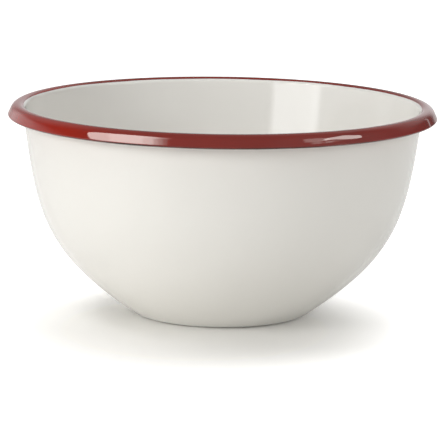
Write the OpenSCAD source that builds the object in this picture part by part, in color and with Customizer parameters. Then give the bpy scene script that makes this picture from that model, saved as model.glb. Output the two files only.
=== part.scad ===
// Enamelled steel bowl with a red rolled rim.
// One sheet of steel is pressed into a deep round bowl, and its edge is rolled outwards and tucked under.
// A dark ground coat is fused to both faces of the sheet, then a cream-white cover coat inside and out,
// and a red band over the rolled rim. The coats are thin glass skins that touch face to face.
// All sizes are in millimetres. The origin is the middle of the standing ring, on the surface that the
// bowl stands on, and +Z points up along the bowl's axis.

/* [Overall] */
// Diameter over the rolled rim
rim_d = 240; // [200:1:300]
// Height from the standing surface to the top of the rim
height = 118; // [90:1:150]

/* [Foot] */
// Diameter of the flat standing ring, where the heel begins
foot_d = 96; // [76:1:120]
// Width of the flat standing ring
foot_ring_w = 8; // [4:0.5:14]
// Height of the round panel pressed up inside the standing ring
foot_recess = 1.5; // [0.5:0.25:4]
// Radius of the step between the panel and the standing ring, at the middle of the sheet
step_r = 8; // [4:0.5:12]
// Outside radius of the heel between the standing ring and the wall
heel_r = 6; // [3:0.5:12]

/* [Wall] */
// Slope of the wall where it leaves the heel, in degrees above level
heel_slope = 35; // [28:1:48]
// Slope of the wall under the rim, in degrees above level
neck_slope = 83; // [78:0.5:90]
// How far the heel's slope carries up the wall, as a share of the straight line from heel to neck
heel_reach = 0.47; // [0.3:0.01:0.55]
// How far the neck's slope carries down the wall, as a share of the same line
neck_reach = 0.46; // [0.3:0.01:0.55]

/* [Rolled rim] */
// Visible radius of the roll from the neck to the top of the rim
roll_in_r = 4; // [3:0.1:7]
// Visible radius of the roll from the top of the rim to its outer face
roll_out_r = 4.9; // [3:0.1:7]
// Slope of the outer face of the rim, in degrees below level
face_slope = 65; // [45:1:75]
// Length of the straight outer face
face_len = 2.6; // [1:0.1:8]
// Radius left inside the tight fold at the bottom of the outer face
fold_inner_r = 0.2; // [0.1:0.05:1]
// Upward tilt of the tucked edge, in degrees
tuck_tilt = 15; // [0:1:25]
// Length of the tucked edge beyond the fold
tuck_len = 4; // [2:0.1:5]

/* [Sheet and coats] */
// Thickness of the steel sheet
steel_t = 0.8; // [0.5:0.05:1.2]
// Thickness of the dark ground coat on each face
ground_t = 0.15; // [0.15:0.05:0.3]
// Thickness of the white and red cover coats
cover_t = 0.25; // [0.15:0.05:0.4]
// Slope of the roll at the line where white meets red, in degrees above level
red_line_slope = 37; // [10:1:60]

/* [Hidden] */

steel_colour = "#96989a";
ground_colour = "#24272d";
white_colour = "#eae7de";
red_colour = "#8f2a20";

// Straight stretches that stand in for a full turn, for the wall's curve and for each bend
turn_sides = 180;
wall_steps = 28;
bend_steps = 8;
roll_steps = 12;

// Distances from the middle of the sheet to the steel's face, the ground coat and the finished surface
steel_face = steel_t / 2;
ground_face = steel_face + ground_t;
finished_face = ground_face + cover_t;

// Radii at the middle of the sheet
heel_mid_r = heel_r - finished_face;
roll_in_mid_r = roll_in_r - finished_face;
roll_out_mid_r = roll_out_r - finished_face;
fold_mid_r = fold_inner_r + ground_face;

// Foot: two equal bends make the step from the panel down to the standing ring
foot_r = foot_d / 2;
step_slope = acos(1 - foot_recess / (2 * step_r));
panel_r = foot_r - foot_ring_w - 2 * step_r * sin(step_slope);

// Neck: placed so that the rim reaches its full diameter and height
roll_width = roll_in_mid_r * sin(neck_slope)
    + roll_out_mid_r * sin(face_slope)
    + face_len * cos(face_slope)
    + fold_mid_r * (1 - sin(face_slope));
neck_r = rim_d / 2 - finished_face - roll_width;
neck_z = height - finished_face - roll_in_mid_r * (1 - cos(neck_slope));

// A station is a point of the sheet's middle line and its heading: [radius, height, degrees above level].

function last(list) = list[len(list) - 1];

function heading(slope) = [cos(slope), sin(slope)];

// Stations of a bend from one station to another heading, turning left or right as that heading asks
function bend(start, radius, slope, steps) =
    let (turn = sign(slope - start[2]))
    let (centre_r = start[0] - turn * radius * sin(start[2]))
    let (centre_z = start[1] + turn * radius * cos(start[2]))
    [for (i = [1:steps])
        let (a = start[2] + (slope - start[2]) * i / steps)
        [centre_r + turn * radius * sin(a), centre_z - turn * radius * cos(a), a]];

// Station at the end of a straight stretch
function straight(start, length) =
    [start[0] + length * cos(start[2]), start[1] + length * sin(start[2]), start[2]];

// Stations of the cubic curve that leaves one station and arrives at another along their headings
function blend(start, finish, start_reach, finish_reach, steps) =
    let (a = [start[0], start[1]])
    let (d = [finish[0], finish[1]])
    let (chord = norm(d - a))
    let (b = a + start_reach * chord * heading(start[2]))
    let (c = d - finish_reach * chord * heading(finish[2]))
    [for (i = [1:steps])
        let (t = i / steps)
        let (u = 1 - t)
        let (p = u * u * u * a + 3 * u * u * t * b + 3 * u * t * t * c + t * t * t * d)
        let (v = u * u * (b - a) + 2 * u * t * (c - b) + t * t * (d - c))
        [p[0], p[1], atan2(v[1], v[0])]];

// Middle line of the sheet, from the axis to the cut edge
centre = [0, finished_face + foot_recess, 0];
panel_edge = straight(centre, panel_r);
step_down = bend(panel_edge, step_r, -step_slope, bend_steps);
step_up = bend(last(step_down), step_r, 0, bend_steps);
ring_edge = straight(last(step_up), foot_ring_w);
heel = bend(ring_edge, heel_mid_r, heel_slope, bend_steps);
neck = [neck_r, neck_z, neck_slope];
wall = blend(last(heel), neck, heel_reach, neck_reach, wall_steps);
white_roll = bend(neck, roll_in_mid_r, red_line_slope, roll_steps);
red_roll = bend(last(white_roll), roll_in_mid_r, 0, bend_steps);
outer_roll = bend(last(red_roll), roll_out_mid_r, -face_slope, bend_steps);
face_end = straight(last(outer_roll), face_len);
fold = bend(face_end, fold_mid_r, -180 - tuck_tilt, roll_steps);
cut_edge = straight(last(fold), tuck_len);

below_red = concat([centre, panel_edge], step_down, step_up, [ring_edge], heel, wall, white_roll);
sheet = concat(below_red, red_roll, outer_roll, [face_end], fold, [cut_edge]);

// Numbers of the stations where the coats end: at the red line and at the cut edge
red_line_at = len(below_red) - 1;
edge_at = len(sheet) - 1;

// Point beside a station: inside the bowl for a negative distance, outside it for a positive one
function beside(station, distance) =
    [station[0] + distance * sin(station[2]), station[1] - distance * cos(station[2])];

// Outline of one face of a layer, between two stations
function layer_face(from, to, distance) = [for (i = [from:to]) beside(sheet[i], distance)];

function reversed(list) = [for (i = [len(list) - 1:-1:0]) list[i]];

// Closed outline of a layer that lies between two distances from the middle of the sheet
function layer(from, to, inner, outer) =
    concat(layer_face(from, to, inner), reversed(layer_face(from, to, outer)));

// Closed outline of the red band, which hooks round the cut edge and covers it
function edge_band() =
    let (tip = straight(cut_edge, cover_t))
    concat(
        layer_face(red_line_at, edge_at, -finished_face),
        [beside(tip, -finished_face), beside(tip, ground_face), beside(cut_edge, ground_face)],
        reversed(layer_face(red_line_at, edge_at, -ground_face))
    );

module turned(outline) {
    rotate_extrude($fn = turn_sides) polygon(outline);
}

// Pressed steel sheet, from the middle of the base to the cut edge under the rim
module steel_shell() {
    color(steel_colour) turned(layer(0, edge_at, -steel_face, steel_face));
}

// Dark base coat on the inner face, which becomes the outer face of the rolled rim
module inner_ground_coat() {
    color(ground_colour) turned(layer(0, edge_at, -ground_face, -steel_face));
}

// Dark base coat on the outer face, left uncovered on the far side of the rim's hollow
module outer_ground_coat() {
    color(ground_colour) turned(layer(0, edge_at, steel_face, ground_face));
}

// White cover coat on the inside of the bowl, up to the red line
module inner_white_enamel() {
    color(white_colour) turned(layer(0, red_line_at, -finished_face, -ground_face));
}

// White cover coat on the outside of the bowl, from the base up into the hollow of the rolled rim
module outer_white_enamel() {
    color(white_colour) turned(layer(0, red_line_at, ground_face, finished_face));
}

// Red cover coat over the rolled rim and round its cut edge
module red_rim_enamel() {
    color(red_colour) turned(edge_band());
}

steel_shell();
inner_ground_coat();
outer_ground_coat();
inner_white_enamel();
outer_white_enamel();
red_rim_enamel();
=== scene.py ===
# %% [markdown]
# # An enamelled steel bowl with a red rim
# The bowl is pressed from one sheet of steel. A dark ground coat is fused to the steel, a cream-
# white glass coat covers it inside and out, and a red glass band runs over the rolled rim. This
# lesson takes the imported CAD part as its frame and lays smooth, slightly uneven glass coats over
# it.

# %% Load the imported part
import math
import bpy
import numpy as np
from mathutils import Matrix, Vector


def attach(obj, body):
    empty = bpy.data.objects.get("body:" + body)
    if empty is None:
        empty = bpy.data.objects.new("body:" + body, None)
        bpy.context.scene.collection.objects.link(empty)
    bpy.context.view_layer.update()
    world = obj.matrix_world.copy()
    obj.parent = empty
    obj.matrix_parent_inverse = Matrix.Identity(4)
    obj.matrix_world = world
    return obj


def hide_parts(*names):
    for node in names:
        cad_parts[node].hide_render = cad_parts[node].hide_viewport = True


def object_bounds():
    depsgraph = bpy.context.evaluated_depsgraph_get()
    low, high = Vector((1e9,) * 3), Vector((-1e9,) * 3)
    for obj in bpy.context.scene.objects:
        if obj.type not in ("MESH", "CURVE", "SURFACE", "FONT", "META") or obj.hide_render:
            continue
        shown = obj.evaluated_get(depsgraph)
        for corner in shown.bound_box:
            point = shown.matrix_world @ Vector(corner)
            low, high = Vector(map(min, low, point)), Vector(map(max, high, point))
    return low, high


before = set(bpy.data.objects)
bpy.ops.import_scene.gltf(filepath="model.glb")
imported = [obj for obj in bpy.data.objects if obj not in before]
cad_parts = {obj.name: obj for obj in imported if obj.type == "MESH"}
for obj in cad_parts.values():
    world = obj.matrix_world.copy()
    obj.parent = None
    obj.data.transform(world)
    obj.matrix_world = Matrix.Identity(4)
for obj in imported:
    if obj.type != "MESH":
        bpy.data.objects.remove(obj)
cad_low, cad_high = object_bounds()
print("CAD box in millimetres:", [round(1000 * v, 2) for v in (*cad_low, *cad_high)])

# %% [markdown]
# ## The middle line of the sheet
# Every layer of the bowl follows one line: the middle of the steel sheet, from the axis to the cut
# edge that is tucked under the rim. It could be drawn by hand as a curve, but a bowl like this is
# made of plain bends, straights and one sweeping wall, so each of them is a formula here. A station
# is a radius, a height and a heading in degrees, and each of the three is an array with one column
# for every angle round the bowl.

# %% Angles round the bowl and the three kinds of stretch
MM = 0.001
AROUND = 360
theta = np.arange(AROUND) * 2 * np.pi / AROUND


def spread(values):
    """One column of values for every angle round the bowl."""
    return np.repeat(np.asarray(values, float)[:, None], AROUND, axis=1)


def bend(start, radius, slope, steps):
    """Arc of one radius from the last row of a stretch to a new slope, which may differ round the bowl.
    The point lies beside the circle's centre by radius times sine and cosine of the running slope."""
    r, z, heading = (rows[-1] for rows in start)
    share = np.linspace(0, 1, steps + 1)[1:, None]
    turn = np.sign(np.mean(slope - heading))
    running = heading + (slope - heading) * share
    centre_r = r - turn * radius * np.sin(np.radians(heading))
    centre_z = z + turn * radius * np.cos(np.radians(heading))
    across = centre_r + turn * radius * np.sin(np.radians(running))
    up = centre_z - turn * radius * np.cos(np.radians(running))
    return across, up, running


def straight(start, length, steps):
    """Straight line from the last row of a stretch along its heading, in equal steps."""
    r, z, heading = (rows[-1] for rows in start)
    along = length * np.linspace(0, 1, steps + 1)[1:, None]
    across = r + along * np.cos(np.radians(heading))
    up = z + along * np.sin(np.radians(heading))
    return across, up, heading + 0 * along


def sweep(start, finish, start_reach, finish_reach, steps):
    """Cubic curve that leaves one station and reaches another along their headings.
    Each handle is a share of the straight line between the two stations."""
    a = np.array([start[0][-1], start[1][-1]])
    d = np.array([finish[0][0], finish[1][0]])
    chord = np.hypot(*(d - a))
    way_out = np.radians(start[2][-1])
    way_in = np.radians(finish[2][0])
    b = a + start_reach * chord * np.array([np.cos(way_out), np.sin(way_out)])
    c = d - finish_reach * chord * np.array([np.cos(way_in), np.sin(way_in)])
    t = np.linspace(0, 1, steps + 1)[1:, None, None]
    u = 1 - t
    point = u**3 * a + 3 * u * u * t * b + 3 * u * t * t * c + t**3 * d
    pace = u * u * (b - a) + 2 * u * t * (c - b) + t * t * (d - c)
    return point[:, 0], point[:, 1], np.degrees(np.arctan2(pace[:, 1], pace[:, 0]))


def joined(*stretches):
    """The stretches one after another as three arrays: radius, height and heading."""
    return tuple(np.concatenate(rows) for rows in zip(*stretches))


print("Angles round the bowl:", AROUND)

# %% [markdown]
# ## The bowl's own sizes
# These are the sizes of the real bowl in millimetres: a foot pressed up by a millimetre and a half,
# a steep wall that grows out of a tight heel, and a rim rolled outwards and folded under. The rim's
# roll is placed so that it ends at the CAD part's full width and height, which the frame gives.

# %% Sizes in millimetres and degrees
# Distances from the middle of the sheet to the faces of the ground coat and of the cover coat
GROUND_FACE, GLASS_FACE = 0.55, 0.80
FOOT_R, RING_W, RECESS, STEP_R = 48, 8, 1.5, 8
HEEL_R, HEEL_SLOPE, NECK_SLOPE = 6, 35, 83
# How far each slope carries along the wall, as a share of the straight line from heel to neck
HEEL_REACH, NECK_REACH = 0.47, 0.46
ROLL_IN_R, ROLL_OUT_R, FOLD_INNER_R = 4.0, 4.9, 0.2
FACE_SLOPE, FACE_LENGTH, TUCK_TILT, TUCK_LENGTH = 65, 2.6, 15, 4.0
rim_r = 1000 * cad_high.x
rim_z = 1000 * cad_high.z
print("Rim radius and height:", round(rim_r, 2), round(rim_z, 2))

# %% Middle line from the axis to the neck
roll_in = ROLL_IN_R - GLASS_FACE
roll_out = ROLL_OUT_R - GLASS_FACE
fold_r = FOLD_INNER_R + GROUND_FACE
roll_width = roll_in * math.sin(math.radians(NECK_SLOPE)) + fold_r
roll_width += (roll_out - fold_r) * math.sin(math.radians(FACE_SLOPE))
roll_width += FACE_LENGTH * math.cos(math.radians(FACE_SLOPE))
neck_r = rim_r - GLASS_FACE - roll_width
neck_z = rim_z - GLASS_FACE - roll_in * (1 - math.cos(math.radians(NECK_SLOPE)))

step_slope = math.degrees(math.acos(1 - RECESS / (2 * STEP_R)))
panel_r = FOOT_R - RING_W - 2 * STEP_R * math.sin(math.radians(step_slope))
centre = (spread([0]), spread([GLASS_FACE + RECESS]), spread([0]))
panel = straight(centre, panel_r, 14)
step_down = bend(panel, STEP_R, -step_slope, 5)
step_up = bend(step_down, STEP_R, 0, 5)
ring = straight(step_up, RING_W, 4)
heel = bend(ring, HEEL_R - GLASS_FACE, HEEL_SLOPE, 10)
neck = (spread([neck_r]), spread([neck_z]), spread([NECK_SLOPE]))
wall = sweep(heel, neck, HEEL_REACH, NECK_REACH, 64)
print("Neck radius and height:", round(neck_r, 2), round(neck_z, 2))

# %% [markdown]
# ## The line where white meets red
# On the real bowl the red band is put on by turning the rim through red slip before the last
# firing, so its edge wanders a little. The edge is the slope on the roll where the white coat ends,
# and a few slow waves round the bowl make it wander by about a tenth of a millimetre. Both coats
# share the line, so they meet.

# %% Wandering red line and the rolled rim
chance = np.random.default_rng(7)


def slow_waves(size, counts):
    """Sum of sine waves, each with a whole number of waves round the bowl and a seeded phase."""
    counts = np.asarray(counts)
    phases = chance.uniform(0, 2 * np.pi, len(counts))
    waves = np.sin(np.outer(theta, counts) + phases)
    return size * waves.sum(axis=1) / math.sqrt(len(counts) / 2)


RED_LINE_SLOPE, RED_LINE_WANDER = 42, 1.5
red_line = RED_LINE_SLOPE + slow_waves(RED_LINE_WANDER, [2, 3, 5, 9, 14])
white_roll = bend(neck, roll_in, red_line, 18)
red_roll = bend(white_roll, roll_in, 0, 10)
outer_roll = bend(red_roll, roll_out, -FACE_SLOPE, 14)
face = straight(outer_roll, FACE_LENGTH, 8)
fold = bend(face, fold_r, -180 - TUCK_TILT, 26)
tuck = straight(fold, TUCK_LENGTH, 8)
below_red = joined(centre, panel, step_down, step_up, ring, heel, wall, white_roll)
red_part = joined(tuple(rows[-1:] for rows in white_roll), red_roll, outer_roll, face, fold, tuck)
print("Stations under the white and the red coat:", len(below_red[0]), len(red_part[0]))

# %% [markdown]
# ## Coats as closed skins
# A coat is a skin between two distances from the middle line, so its outline runs up one face and
# back down the other. Turning that outline round the axis gives a closed surface: the grid is
# welded where the turn ends, and the points on the axis become one vertex each. Blender's Screw
# modifier could turn a curve too, but a grid in numpy also lets the glass be thicker or thinner
# from place to place.

# %% Offsetting and turning
def beside(stations, distance):
    """Points at a distance from the middle line: outside the bowl if positive, inside if negative."""
    r, z, heading = stations
    return r + distance * np.sin(np.radians(heading)), z - distance * np.cos(np.radians(heading))


def backwards(points):
    """The same outline rows from the last to the first."""
    return tuple(rows[::-1] for rows in points)


def turned(name, faces, ring_shaped):
    """Closed surface x = r cos a, y = r sin a, z from outline rows r(i, a) and z(i, a) in millimetres.
    A ring-shaped outline closes on itself; any other begins and ends on the axis in one vertex each."""
    r = MM * np.concatenate([part[0] for part in faces])
    z = MM * np.concatenate([part[1] for part in faces])
    grid = np.stack([r * np.cos(theta), r * np.sin(theta), z], axis=-1)
    poles = np.zeros((0, 3)) if ring_shaped else grid[[0, -1], 0]
    body = grid if ring_shaped else grid[1:-1]
    rows = len(body)
    number = np.arange(rows * AROUND).reshape(rows, AROUND)
    lower = number if ring_shaped else number[:-1]
    upper = np.roll(number, -1, axis=0) if ring_shaped else number[1:]
    quads = np.stack([lower, np.roll(lower, -1, 1), np.roll(upper, -1, 1), upper], axis=-1).reshape(-1, 4)
    polygons = quads.tolist()
    if not ring_shaped:
        first, last = rows * AROUND, rows * AROUND + 1
        start_fan = np.stack([np.full(AROUND, first), np.roll(number[0], -1), number[0]], axis=-1)
        end_fan = np.stack([np.full(AROUND, last), number[-1], np.roll(number[-1], -1)], axis=-1)
        polygons += start_fan.tolist() + end_fan.tolist()
    mesh = bpy.data.meshes.new(name)
    mesh.from_pydata(np.concatenate([body.reshape(-1, 3), poles]).tolist(), [], polygons)
    mesh.shade_smooth()
    piece = bpy.data.objects.new(name, mesh)
    bpy.context.scene.collection.objects.link(piece)
    print(name, "has", len(mesh.vertices), "vertices and", len(mesh.polygons), "faces")
    return piece


print("Height of the standing ring:", round(float(beside(ring, GLASS_FACE)[1].min()), 3))

# %% [markdown]
# ## The white coats
# White slip is poured over the bowl and drains before it is fired, so the glass is a little thicker
# lower on the wall. Inside, this leans the glass back by about a degree, and so the back wall can
# mirror a light that stands beyond the front rim. At the top the slip gathers against the red band,
# and the wall runs straight up to a tighter bend. A sculpt brush could do both, but a short table
# of heights, rounded by taking means, and one formula for the bend stay even all round.

# %% Inner and outer white glass
DRAIN_HEIGHTS = [30, 84, 96, 104, 118]
DRAIN_EXTRA = [0, 0.36, 0.085, 0, 0]
BEND_SOFTNESS = 6


def drained(heights):
    """Extra glass in millimetres: lines between heights, smoothed by a mean over six millimetres."""
    nearby = heights[..., None] + np.linspace(-3, 3, 13)
    return np.interp(nearby, DRAIN_HEIGHTS, DRAIN_EXTRA).mean(axis=-1)


# Glass fills the corner between the roll and the straight lines that touch it at both its ends
half_turn = 0.5 * (NECK_SLOPE - red_line)
from_middle = white_roll[2] - NECK_SLOPE + half_turn
to_the_end = np.clip(half_turn - np.hypot(from_middle, BEND_SOFTNESS), 0, None)
gathered = (roll_in + GLASS_FACE) * (1 / np.cos(np.radians(to_the_end)) - 1)
white_extra = drained(below_red[1])
white_extra[-len(gathered):] += gathered
inside_face = beside(below_red, -GLASS_FACE - white_extra)
inside_back = beside(below_red, -GROUND_FACE)
inner_white = turned("inner_white_glass", [inside_back, backwards(inside_face)], False)
outside_face = beside(below_red, GLASS_FACE)
outside_back = beside(below_red, GROUND_FACE)
outer_white = turned("outer_white_glass", [outside_face, backwards(outside_back)], False)
print("Thickest white glass in millimetres:", round(GLASS_FACE - GROUND_FACE + white_extra.max(), 2))

# %% [markdown]
# ## The red band
# The red slip is brushed or dipped by hand, so its glass is not even. On the left of the front it
# lies flat and mirrors a broad patch of light, which narrows where the glass begins to swell. On
# the right it stands up in a soft crown with faint brush marks and one shallow groove, which
# squeeze the light into a thin wavy streak. The crown is one smooth hump across the band whose
# height and middle change with the angle round the bowl. While the glass is molten it also sags to
# the lower lip, which makes the face longer and the lip sharp. The band hooks round the cut edge of
# the sheet, out of sight.

# %% Places round and across the red band
front_degrees = np.degrees((theta - 1.5 * np.pi + np.pi) % (2 * np.pi) - np.pi)


def between(low, high, soft):
    """One between two angles from the front, nothing outside them, with soft ends."""
    return 0.5 * (np.tanh((front_degrees - low) / soft) - np.tanh((front_degrees - high) / soft))


def bell(middle, width):
    """One at an angle from the front, falling off on both sides of it."""
    return np.exp(-(((front_degrees - middle) / width) ** 2))


def hump(share):
    """Squared cosine of a quarter turn: one at nought, smoothly down to nothing at one and minus one."""
    return np.cos(0.5 * np.pi * np.clip(share, -1, 1)) ** 2


steps_r, steps_z = (np.diff(rows, axis=0) for rows in beside(red_part, -GLASS_FACE))
along = np.concatenate([np.zeros((1, AROUND)), np.cumsum(np.hypot(steps_r, steps_z), axis=0)])
face_middle = len(red_roll[0]) + len(outer_roll[0]) + len(face[0]) // 2
along -= along[face_middle]
print("Width of the red band along its face:", round(float(np.ptp(along, axis=0).mean()), 2))

# %% Crown, brush marks and groove of the red glass
CROWN_UP, CROWN_DOWN = 3.4, 5.0
MARK_HEIGHT, MARK_GAP, MARK_SLANT = 0.010, 2.1, 0.35
GROOVE_DEPTH, GROOVE_W = 0.09, 1.6
# Height of the crown: swollen on the right of the front, flat on the left, swollen again farther left
right_swell = between(14, 60, 4)
crown = 0.05 + 0.09 * right_swell - 0.04 * between(-32, -8, 3) + 0.09 * between(-60, -35.5, 1.2)
crown = crown + slow_waves(0.012, [7, 11, 17])
# Middle of the crown down the band: it lies higher at 33 degrees and lower on both sides of that
crown_middle = -0.2 + 0.6 * right_swell
crown_middle = crown_middle - 2.4 * bell(33, 4.6) + 0.9 * bell(24, 4.5) + 0.5 * bell(44, 5)
crown_middle = crown_middle + slow_waves(0.1, [13, 21, 34])
brush = np.sin(2 * np.pi * along / MARK_GAP + MARK_SLANT * front_degrees)
marks = MARK_HEIGHT * between(16, 48, 4) * brush
from_crown = along - crown_middle
band_extra = (crown + marks) * hump(from_crown / np.where(from_crown < 0, CROWN_UP, CROWN_DOWN))
band_extra -= GROOVE_DEPTH * bell(33, 3.5) * hump((along + GROOVE_W) / GROOVE_W)
print("Crown height in millimetres:", round(crown.min(), 3), "to", round(crown.max(), 3))

# %% Sharp lower lip of the red glass
LIP, LIP_FADE = 34, 60
lip_r = fold_r + GLASS_FACE
folded = np.clip(-FACE_SLOPE - red_part[2], 0, None)
sag = lip_r / np.cos(np.radians(np.minimum(folded, LIP))) - lip_r
band_extra += sag * hump(np.maximum(folded - LIP, 0) / LIP_FADE)
print("Thickest red glass in millimetres:", round(GLASS_FACE - GROUND_FACE + band_extra.max(), 2))

# %% Red band as one closed ring
tip = tuple(rows[-1:] for rows in straight(red_part, GLASS_FACE - GROUND_FACE, 1))
cut_edge = tuple(rows[-1:] for rows in red_part)
band_face = beside(red_part, -GLASS_FACE - band_extra)
band_back = beside(red_part, -GROUND_FACE)
hook = [beside(cut_edge, GROUND_FACE), beside(tip, GROUND_FACE), beside(tip, -GLASS_FACE)]
red_band = turned("red_band_glass", [band_back, *hook, backwards(band_face)], True)

# %% [markdown]
# ## Values painted on the red band
# The finish of the red band follows the band itself and not a box round the bowl. Three values are
# kept on its vertices: how dark the line under the lip is, how much brighter the red is (painted
# light on the sides where the lamps fall, with slow random changes of tone), and a place along and
# across the band for fine streaks. A weight-painted map could hold them too, but a formula is
# quicker to change.

# %% Attributes of the red band
def keep_on(piece, name, kind, rows):
    """Store one value or vector for each vertex of the band's face, and nothing for its hidden back."""
    hidden = np.zeros((len(band_back[0]) + len(hook), *rows.shape[1:]))
    values = np.concatenate([hidden, rows[::-1]])
    field = "vector" if kind == "FLOAT_VECTOR" else "value"
    piece.data.attributes.new(name, kind, "POINT").data.foreach_set(field, values.ravel())
    print("Kept", name, "between", round(float(values.min()), 3), "and", round(float(values.max()), 3))


# A dark, dull line runs from just under the lip's edge to where the fold turns inwards, strongest a
# little left of the front
under_lip = np.clip((folded - LIP - 1) / 6, 0, 1) * np.clip((120 - folded) / 20, 0, 1)
dark_line_strength = np.clip(0.5 + 0.4 * bell(-22, 9) + slow_waves(0.1, [5, 9, 16, 23]), 0, 1)
keep_on(red_band, "lip", "FLOAT", under_lip * dark_line_strength)
# Painted light: the red is brighter on the left side, where the key light falls, and a little on the
# right, where the side light falls; slow random changes of tone lie on top
bright = 0.2 + 0.8 * between(-130, -38, 5) + 0.4 * between(40, 100, 5)
bright = np.clip(bright + slow_waves(0.06, [3, 5, 8, 13]), 0, 1)
keep_on(red_band, "bright", "FLOAT", 0 * along + bright)
turn = np.stack([MM * rim_r * np.cos(theta), MM * rim_r * np.sin(theta)], axis=-1)
streaks = np.concatenate([np.tile(turn, (len(along), 1, 1)), 8 * MM * along[..., None]], axis=-1)
keep_on(red_band, "streaks", "FLOAT_VECTOR", streaks)

# %% [markdown]
# ## Fired glass and bare steel
# Vitreous enamel is opaque coloured glass with a hard mirror-like skin. Up close it is never quite
# even: the cream clouds a little, the gloss changes from place to place, and the skin has the faint
# ripple of orange peel. A picture could carry all this, but noise on the object's own coordinates
# has no seams and no limit of detail. The red is deep, and painted light makes it brighter on the
# left side and a little on the right. Under the lip it turns to a dark, dull line. The steel and the
# ground coat get rougher finishes, because they show only inside the rim's hollow.

# %% Materials and their nodes
ENAMEL_IOR = 1.6


def plain_material(name, roughness):
    """New material with one roughness and the mirror strength of enamel."""
    material = bpy.data.materials.new(name)
    material.use_nodes = True
    shader = material.node_tree.nodes["Principled BSDF"]
    shader.inputs["Roughness"].default_value = roughness
    shader.inputs["IOR"].default_value = ENAMEL_IOR
    return material


def node(material, kind, settings, links):
    """New shader node with some inputs set to constants and some linked to other sockets."""
    made = material.node_tree.nodes.new(kind)
    for name, value in settings.items():
        made.inputs[name].default_value = value
    for name, socket in links.items():
        material.node_tree.links.new(socket, made.inputs[name])
    return made


def noise(material, place, scale, detail):
    """Cloudy noise from nought to one on a place socket, with scale in clouds per metre."""
    made = node(material, "ShaderNodeTexNoise", {"Scale": scale, "Detail": detail}, {"Vector": place})
    return made.outputs["Fac"]


def mixed(material, share, first, second):
    """Colour socket that goes from the first colour to the second with a share socket.
    Either colour may be a socket as well."""
    made = material.node_tree.nodes.new("ShaderNodeMix")
    made.data_type = "RGBA"
    material.node_tree.links.new(share, made.inputs["Factor"])
    for slot, colour in ((made.inputs[6], first), (made.inputs[7], second)):
        if isinstance(colour, bpy.types.NodeSocket):
            material.node_tree.links.new(colour, slot)
        else:
            slot.default_value = (*colour, 1)
    return made.outputs[2]


head_on = ((ENAMEL_IOR - 1) / (ENAMEL_IOR + 1)) ** 2
print("Share of light that enamel mirrors head on:", round(head_on, 3))

# %% Colour, gloss and ripple of a finish
def finish(material, colour, uneven, low, high, ripple, height):
    """Link a colour, a roughness between two limits and a ripple with a height in millimetres."""
    links = material.node_tree.links
    shader = material.node_tree.nodes["Principled BSDF"]
    gloss = node(material, "ShaderNodeMapRange", {"From Min": 0.3, "From Max": 0.7}, {"Value": uneven})
    gloss.inputs["To Min"].default_value = low
    gloss.inputs["To Max"].default_value = high
    bump = node(material, "ShaderNodeBump", {"Strength": 1, "Distance": MM * height}, {"Height": ripple})
    links.new(colour, shader.inputs["Base Color"])
    links.new(gloss.outputs["Result"], shader.inputs["Roughness"])
    links.new(bump.outputs["Normal"], shader.inputs["Normal"])
    print(material.name, "has", len(material.node_tree.nodes), "nodes")


# %% White glass
white_glass = plain_material("white glass", 0.05)
on_white = white_glass.node_tree.nodes.new("ShaderNodeTexCoord").outputs["Object"]
clouds = noise(white_glass, on_white, 22, 2)
cream = mixed(white_glass, clouds, (0.79, 0.775, 0.734), (0.81, 0.795, 0.756))
peel = noise(white_glass, on_white, 400, 1)
finish(white_glass, cream, noise(white_glass, on_white, 70, 3), 0.035, 0.065, peel, 0.002)

# %% Red glass
red_glass = plain_material("red glass", 0.05)


def kept(name, output):
    """Socket that reads a value kept on the red band's vertices."""
    made = red_glass.node_tree.nodes.new("ShaderNodeAttribute")
    made.attribute_name = name
    return made.outputs[output]


lip_share = kept("lip", "Fac")
on_band = kept("streaks", "Vector")
# Deep red goes to a brighter red where light is painted on the sides
reds = mixed(red_glass, kept("bright", "Fac"), (0.172, 0.011, 0.005), (0.265, 0.013, 0.005))
# The red turns to a dark, dull line under the lip
reds = mixed(red_glass, lip_share, reds, (0.018, 0.009, 0.008))
dull = node(red_glass, "ShaderNodeMapRange", {"To Min": 0.5, "To Max": 0.05}, {"Value": lip_share})
red_shader = red_glass.node_tree.nodes["Principled BSDF"]
red_glass.node_tree.links.new(dull.outputs["Result"], red_shader.inputs["Specular IOR Level"])
brushed = noise(red_glass, on_band, 110, 2)
finish(red_glass, reds, noise(red_glass, on_band, 60, 2), 0.03, 0.08, brushed, 0.003)

# %% Dark ground coat
dark_glass = plain_material("dark ground coat", 0.3)
on_dark = dark_glass.node_tree.nodes.new("ShaderNodeTexCoord").outputs["Object"]
spots = noise(dark_glass, on_dark, 60, 3)
night = mixed(dark_glass, spots, (0.014, 0.015, 0.019), (0.028, 0.031, 0.040))
grain = noise(dark_glass, on_dark, 600, 1)
finish(dark_glass, night, noise(dark_glass, on_dark, 150, 2), 0.2, 0.4, grain, 0.004)

# %% Bare steel
bare_steel = plain_material("bare steel", 0.4)
bare_steel.node_tree.nodes["Principled BSDF"].inputs["Metallic"].default_value = 1
on_steel = bare_steel.node_tree.nodes.new("ShaderNodeTexCoord").outputs["Object"]
stains = noise(bare_steel, on_steel, 80, 3)
greys = mixed(bare_steel, stains, (0.42, 0.43, 0.44), (0.50, 0.51, 0.52))
pits = noise(bare_steel, on_steel, 900, 1)
finish(bare_steel, greys, noise(bare_steel, on_steel, 300, 2), 0.3, 0.5, pits, 0.004)
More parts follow.
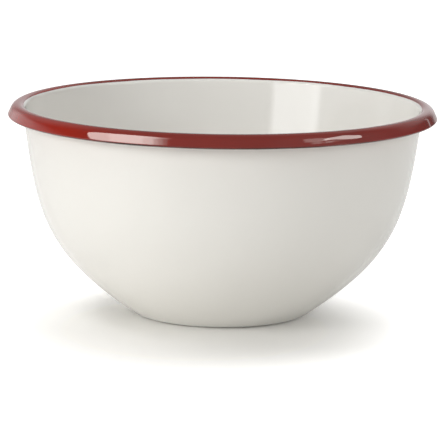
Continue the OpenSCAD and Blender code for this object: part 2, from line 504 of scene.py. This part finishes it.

# %% [markdown]
# ## Handing the pieces to the frame
# The three glass coats take the places of the plain CAD coats and ride with the bowl's one rigid
# body. The steel and the two ground coats stay as the CAD part has them and only get their
# finishes.

# %% Frame and finishes
for piece, replaced, slot, material in (
    (inner_white, "inner_white_enamel", "white_enamel", white_glass),
    (outer_white, "outer_white_enamel", "white_enamel", white_glass),
    (red_band, "red_rim_enamel", "red_enamel", red_glass),
):
    piece.data.materials.append(material)
    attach(piece, "root")
    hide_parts(replaced)
    print(piece.name, "stands in for", replaced)
for bare, material in (
    ("steel_shell", bare_steel),
    ("inner_ground_coat", dark_glass),
    ("outer_ground_coat", dark_glass),
):
    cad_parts[bare].data.materials.clear()
    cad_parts[bare].data.materials.append(material)
    print(bare, "is finished as", material.name)

# %% [markdown]
# ## White floor with the bowl's shadow
# The bowl was photographed on white paper that is bright enough to vanish, while the shadow under
# the bowl stays. The floor is plain pale paint, lit like everything else. Away from the bowl a glow
# lifts it to white. It starts at the edge of the shadow and grows with the distance from it,
# measured in an oval round the foot. The camera sees all of this glow and the glass mirrors about a
# third of it, but it lights no colour on the bowl.

# %% Floor
FLOOR = 30
UNDER_FOOT = -0.0001
floor_mesh = bpy.data.meshes.new("floor")
corners = ((-1, -1), (1, -1), (1, 1), (-1, 1))
floor_mesh.from_pydata([(x * FLOOR, y * FLOOR, UNDER_FOOT) for x, y in corners], [], [(0, 1, 2, 3)])
floor = bpy.data.objects.new("floor", floor_mesh)
bpy.context.scene.collection.objects.link(floor)
floor_paint = plain_material("floor paint", 0.6)
floor_nodes = floor_paint.node_tree.nodes
floor_links = floor_paint.node_tree.links
floor_nodes["Principled BSDF"].inputs["Base Color"].default_value = (0.90, 0.893, 0.865, 1)
floor.data.materials.append(floor_paint)
print("Floor is", 2 * FLOOR, "metres wide")

# %% Glow of the far floor
SHADOW_MIDDLE, SHADOW_SIZE, SHADOW_EDGE = (-0.014, -0.051, 0), (0.091, 0.094, 1), 0.46
GLOW_GROWTH, GLOW_MOST, GLOW_MIRRORED = 0.88, 0.8, 0.35
place_on_floor = floor_nodes.new("ShaderNodeTexCoord").outputs["Object"]
oval = node(floor_paint, "ShaderNodeMapping", {}, {"Vector": place_on_floor})
oval.vector_type = "TEXTURE"
oval.inputs["Location"].default_value = SHADOW_MIDDLE
oval.inputs["Scale"].default_value = SHADOW_SIZE
away = floor_nodes.new("ShaderNodeVectorMath")
away.operation = "LENGTH"
floor_links.new(oval.outputs["Vector"], away.inputs[0])


def reckon(tree, operation, first, second):
    """Math node whose two inputs are each a socket or a number."""
    step = tree.nodes.new("ShaderNodeMath")
    step.operation = operation
    for slot, value in zip(step.inputs, (first, second)):
        if isinstance(value, bpy.types.NodeSocket):
            tree.links.new(value, slot)
        else:
            slot.default_value = value
    return step.outputs[0]


on_floor = floor_paint.node_tree
past_edge = reckon(on_floor, "SUBTRACT", away.outputs["Value"], SHADOW_EDGE)
beyond = reckon(on_floor, "MAXIMUM", past_edge, 0)
growing = reckon(on_floor, "MULTIPLY", reckon(on_floor, "POWER", beyond, 2), GLOW_GROWTH)
path = floor_nodes.new("ShaderNodeLightPath").outputs
mirrored = reckon(on_floor, "MAXIMUM", path["Is Glossy Ray"], path["Is Transmission Ray"])
faint = reckon(on_floor, "MULTIPLY", mirrored, GLOW_MIRRORED)
seen = reckon(on_floor, "MAXIMUM", path["Is Camera Ray"], faint)
glow_strength = reckon(on_floor, "MULTIPLY", reckon(on_floor, "MINIMUM", growing, GLOW_MOST), seen)
glow = node(floor_paint, "ShaderNodeEmission", {}, {"Strength": glow_strength})
both = floor_nodes.new("ShaderNodeAddShader")
floor_links.new(floor_nodes["Principled BSDF"].outputs[0], both.inputs[0])
floor_links.new(glow.outputs[0], both.inputs[1])
floor_links.new(both.outputs[0], floor_nodes["Material Output"].inputs["Surface"])
print("Floor paint has", len(floor_nodes), "nodes")

# %% [markdown]
# ## The room and the white backdrop
# A studio is a dim room with a white backdrop behind the object. The room is a soft grey light that
# is stronger on the camera's side, and to the camera itself it is plain white. What the glass
# mirrors of the room is added for mirror-like surfaces only, so it does not light the bowl: the
# backdrop low at the back, which the top of the rim mirrors because it is seen so flat, a faint
# glow above it, a dark flag at the far left, a right side that is lighter in front and darker at
# the back, and a low pale wall on the left that the inside mirrors.

# %% World
world = bpy.data.worlds.new("room")
bpy.context.scene.world = world
world.use_nodes = True
in_room = world.node_tree
direction = in_room.nodes.new("ShaderNodeTexCoord").outputs["Generated"]
parts = node(world, "ShaderNodeSeparateXYZ", {}, {"Vector": direction}).outputs


def ramp(value, start, end, first, last):
    """Smooth step in the room: the first number below the start, the last one above the end."""
    made = node(world, "ShaderNodeMapRange", {"From Min": start, "From Max": end}, {"Value": value})
    made.interpolation_type = "SMOOTHSTEP"
    made.inputs["To Min"].default_value = first
    made.inputs["To Max"].default_value = last
    return made.outputs["Result"]


def times(first, second):
    """Product of two sockets in the room."""
    return reckon(in_room, "MULTIPLY", first, second)


x, y, z = parts["X"], parts["Y"], parts["Z"]
grey = {"From Min": -1, "To Min": 0.50, "To Max": 0.25}
room = node(world, "ShaderNodeMapRange", grey, {"Value": y})
behind = times(ramp(y, 0.88, 0.985, 0, 1), ramp(x, -0.3, 0.3, 0.30, 0.70))
above = times(ramp(y, 0.2, 0.7, 0, 1), ramp(x, -0.2, 0.4, 0.10, 0.35))
above = times(above, ramp(z, 0.15, 0.4, 0, 1))
flag = ramp(x, -0.95, -0.5, -0.25, 0)
shade = times(ramp(y, 0, 0.5, 0.12, -0.14), ramp(x, 0.3, 0.5, 0, 1))
pale_wall = times(ramp(y, -0.62, -0.5, 0, 0.7), ramp(x, -0.5, -0.3, 1, 0))
pale_wall = times(pale_wall, ramp(z, 0.2, 0.4, 1, 0))
mirrored_room = behind
for area in (above, flag, shade, pale_wall):
    mirrored_room = reckon(in_room, "ADD", mirrored_room, area)
room_path = in_room.nodes.new("ShaderNodeLightPath").outputs
mirrors = reckon(in_room, "MAXIMUM", room_path["Is Glossy Ray"], room_path["Is Transmission Ray"])
lit = reckon(in_room, "ADD", room.outputs["Result"], times(mirrored_room, mirrors))
strength = reckon(in_room, "MAXIMUM", lit, room_path["Is Camera Ray"])
in_room.nodes["Background"].inputs["Color"].default_value = (1, 1, 1, 1)
in_room.links.new(strength, in_room.nodes["Background"].inputs["Strength"])
print("Room has", len(in_room.nodes), "nodes")

# %% [markdown]
# ## Lights
# Large softboxes on the left and weaker ones on the right and at the back model the round wall. The
# low one on the left reaches under the rim, and the high one lights the inside. What the glass
# mirrors is set apart from what lights its colour, so that the patches on the rim and the bright
# stripe inside can be placed without changing the shading: some panels only light paint, and some
# cards are only mirrored. The cards for the rim are warm ovals. Where a mirrored patch fades at its
# end, cards of several widths stand one behind the other, and each adds its share.

# %% Panels that face the bowl
PANEL_AIM = np.array([0, 0, 0.1])
WARM, NEUTRAL = (1, 0.97, 0.92), (1, 1, 1)


def aimed(back, roll):
    """Sideways and upward directions of what looks against a direction, turned by a roll angle."""
    side = np.array([-back[1], back[0], 0]) / math.hypot(back[0], back[1])
    up = np.cross(back, side)
    return math.cos(roll) * side + math.sin(roll) * up, math.cos(roll) * up - math.sin(roll) * side


def placed(holder, back, roll, place):
    """Put a lamp or camera at a place, looking against a direction."""
    axes = np.stack([*aimed(back, roll), back, place], axis=1)
    holder.matrix_world = Matrix([*axes.tolist(), [0, 0, 0, 1]])
    bpy.context.scene.collection.objects.link(holder)


def towards(azimuth, elevation):
    """Direction from degrees to the right of the camera's side and degrees above level."""
    a, e = math.radians(azimuth), math.radians(elevation)
    return np.array([math.sin(a) * math.cos(e), -math.cos(a) * math.cos(e), math.sin(e)])


def panel_light(name, seen_by, azimuth, elevation, distance, width, height, radiance, roll=0, oval=False):
    """Area light that faces the inside of the bowl. Watts are radiance times area times pi."""
    lamp = bpy.data.lights.new(name, "AREA")
    lamp.shape = "ELLIPSE" if oval else "RECTANGLE"
    lamp.size = width
    lamp.size_y = height
    lamp.energy = radiance * width * height * math.pi * (math.pi / 4 if oval else 1)
    lamp.color = WARM if oval else NEUTRAL
    holder = bpy.data.objects.new(name, lamp)
    holder.visible_camera = False
    holder.visible_diffuse = seen_by == "paint"
    holder.visible_glossy = seen_by == "mirror"
    back = towards(azimuth, elevation)
    placed(holder, back, math.radians(roll), PANEL_AIM + distance * back)
    print(name, "gives", round(lamp.energy, 1), "watts")


print("Panels face a point", PANEL_AIM[2], "metres above the floor")

# %% Softboxes
SOFTBOX_AWAY, SOFTBOX_W, SOFTBOX_H = 1.2, 0.60, 0.34
for name, azimuth, elevation, radiance in (
    ("left softbox", -50, 22, 7.0),
    ("left low softbox", -50, 6, 2.2),
    ("left top softbox", -80, 60, 5.9),
    ("right softbox", 30, 22, 1.6),
    ("right side softbox", 80, 14, 2.9),
    ("back softbox", 160, 40, 1.7),
):
    panel_light(name, "paint", azimuth, elevation, SOFTBOX_AWAY, SOFTBOX_W, SOFTBOX_H, radiance)

# %% Mirrored cards
panel_light("left bright card", "mirror", -56, 38, 1.25, 0.42, 0.46, 1.7, 10, True)
panel_light("right rim card", "mirror", 71.2, 34, 1.2, 0.46, 0.26, 6.5, -15, True)
panel_light("right faint card", "mirror", 56, 38, 1.2, 0.27, 0.17, 1.9, 0, True)
panel_light("right end card", "mirror", 142, 9.5, 1.23, 0.045, 0.30, 0.8, -22)
for number, radiance in enumerate((3.2, 1.7, 1.6, 1.2)):
    name = f"left rim card {number + 1}"
    azimuth = -59.6 + 1.2 * number
    distance = 1.3 + 0.01 * number
    width = 0.80 + 0.06 * number
    panel_light(name, "mirror", azimuth, 37.3, distance, width, 0.60, radiance, 17, True)
for number, width in enumerate((0.45, 0.495, 0.54)):
    name = f"left mirror card {number + 1}"
    panel_light(name, "mirror", -48.7, 7, 0.863 + 0.002 * number, width, 0.28, 1.03)

# %% [markdown]
# ## Camera
# The photo was taken from slightly above with a long lens. At a chosen distance, the height angle,
# a tilt of less than a degree, and the focal length and shifts in picture points come from fitting
# the bowl's outline to the photo.

# %% Camera
PHOTO_W, FOCAL_LENGTH, SHIFT_X, SHIFT_Y = 440, 2649.6, -1.191, 2.199
EYE_ELEVATION, EYE_TILT, EYE_AWAY = 10.645, 0.761, 1.5
EYE_AIM = np.array([0, 0, 0.05])
lens = bpy.data.cameras.new("camera")
lens.sensor_width = 36
lens.lens = lens.sensor_width * FOCAL_LENGTH / PHOTO_W
lens.shift_x = SHIFT_X / PHOTO_W
lens.shift_y = SHIFT_Y / PHOTO_W
lens.clip_end = 100
camera = bpy.data.objects.new("camera", lens)
eye_side = towards(0, EYE_ELEVATION)
placed(camera, eye_side, math.radians(EYE_TILT), EYE_AIM + EYE_AWAY * eye_side)
bpy.context.scene.camera = camera
bpy.context.scene.view_settings.view_transform = "Standard"
print("Lens in millimetres:", round(lens.lens, 1))
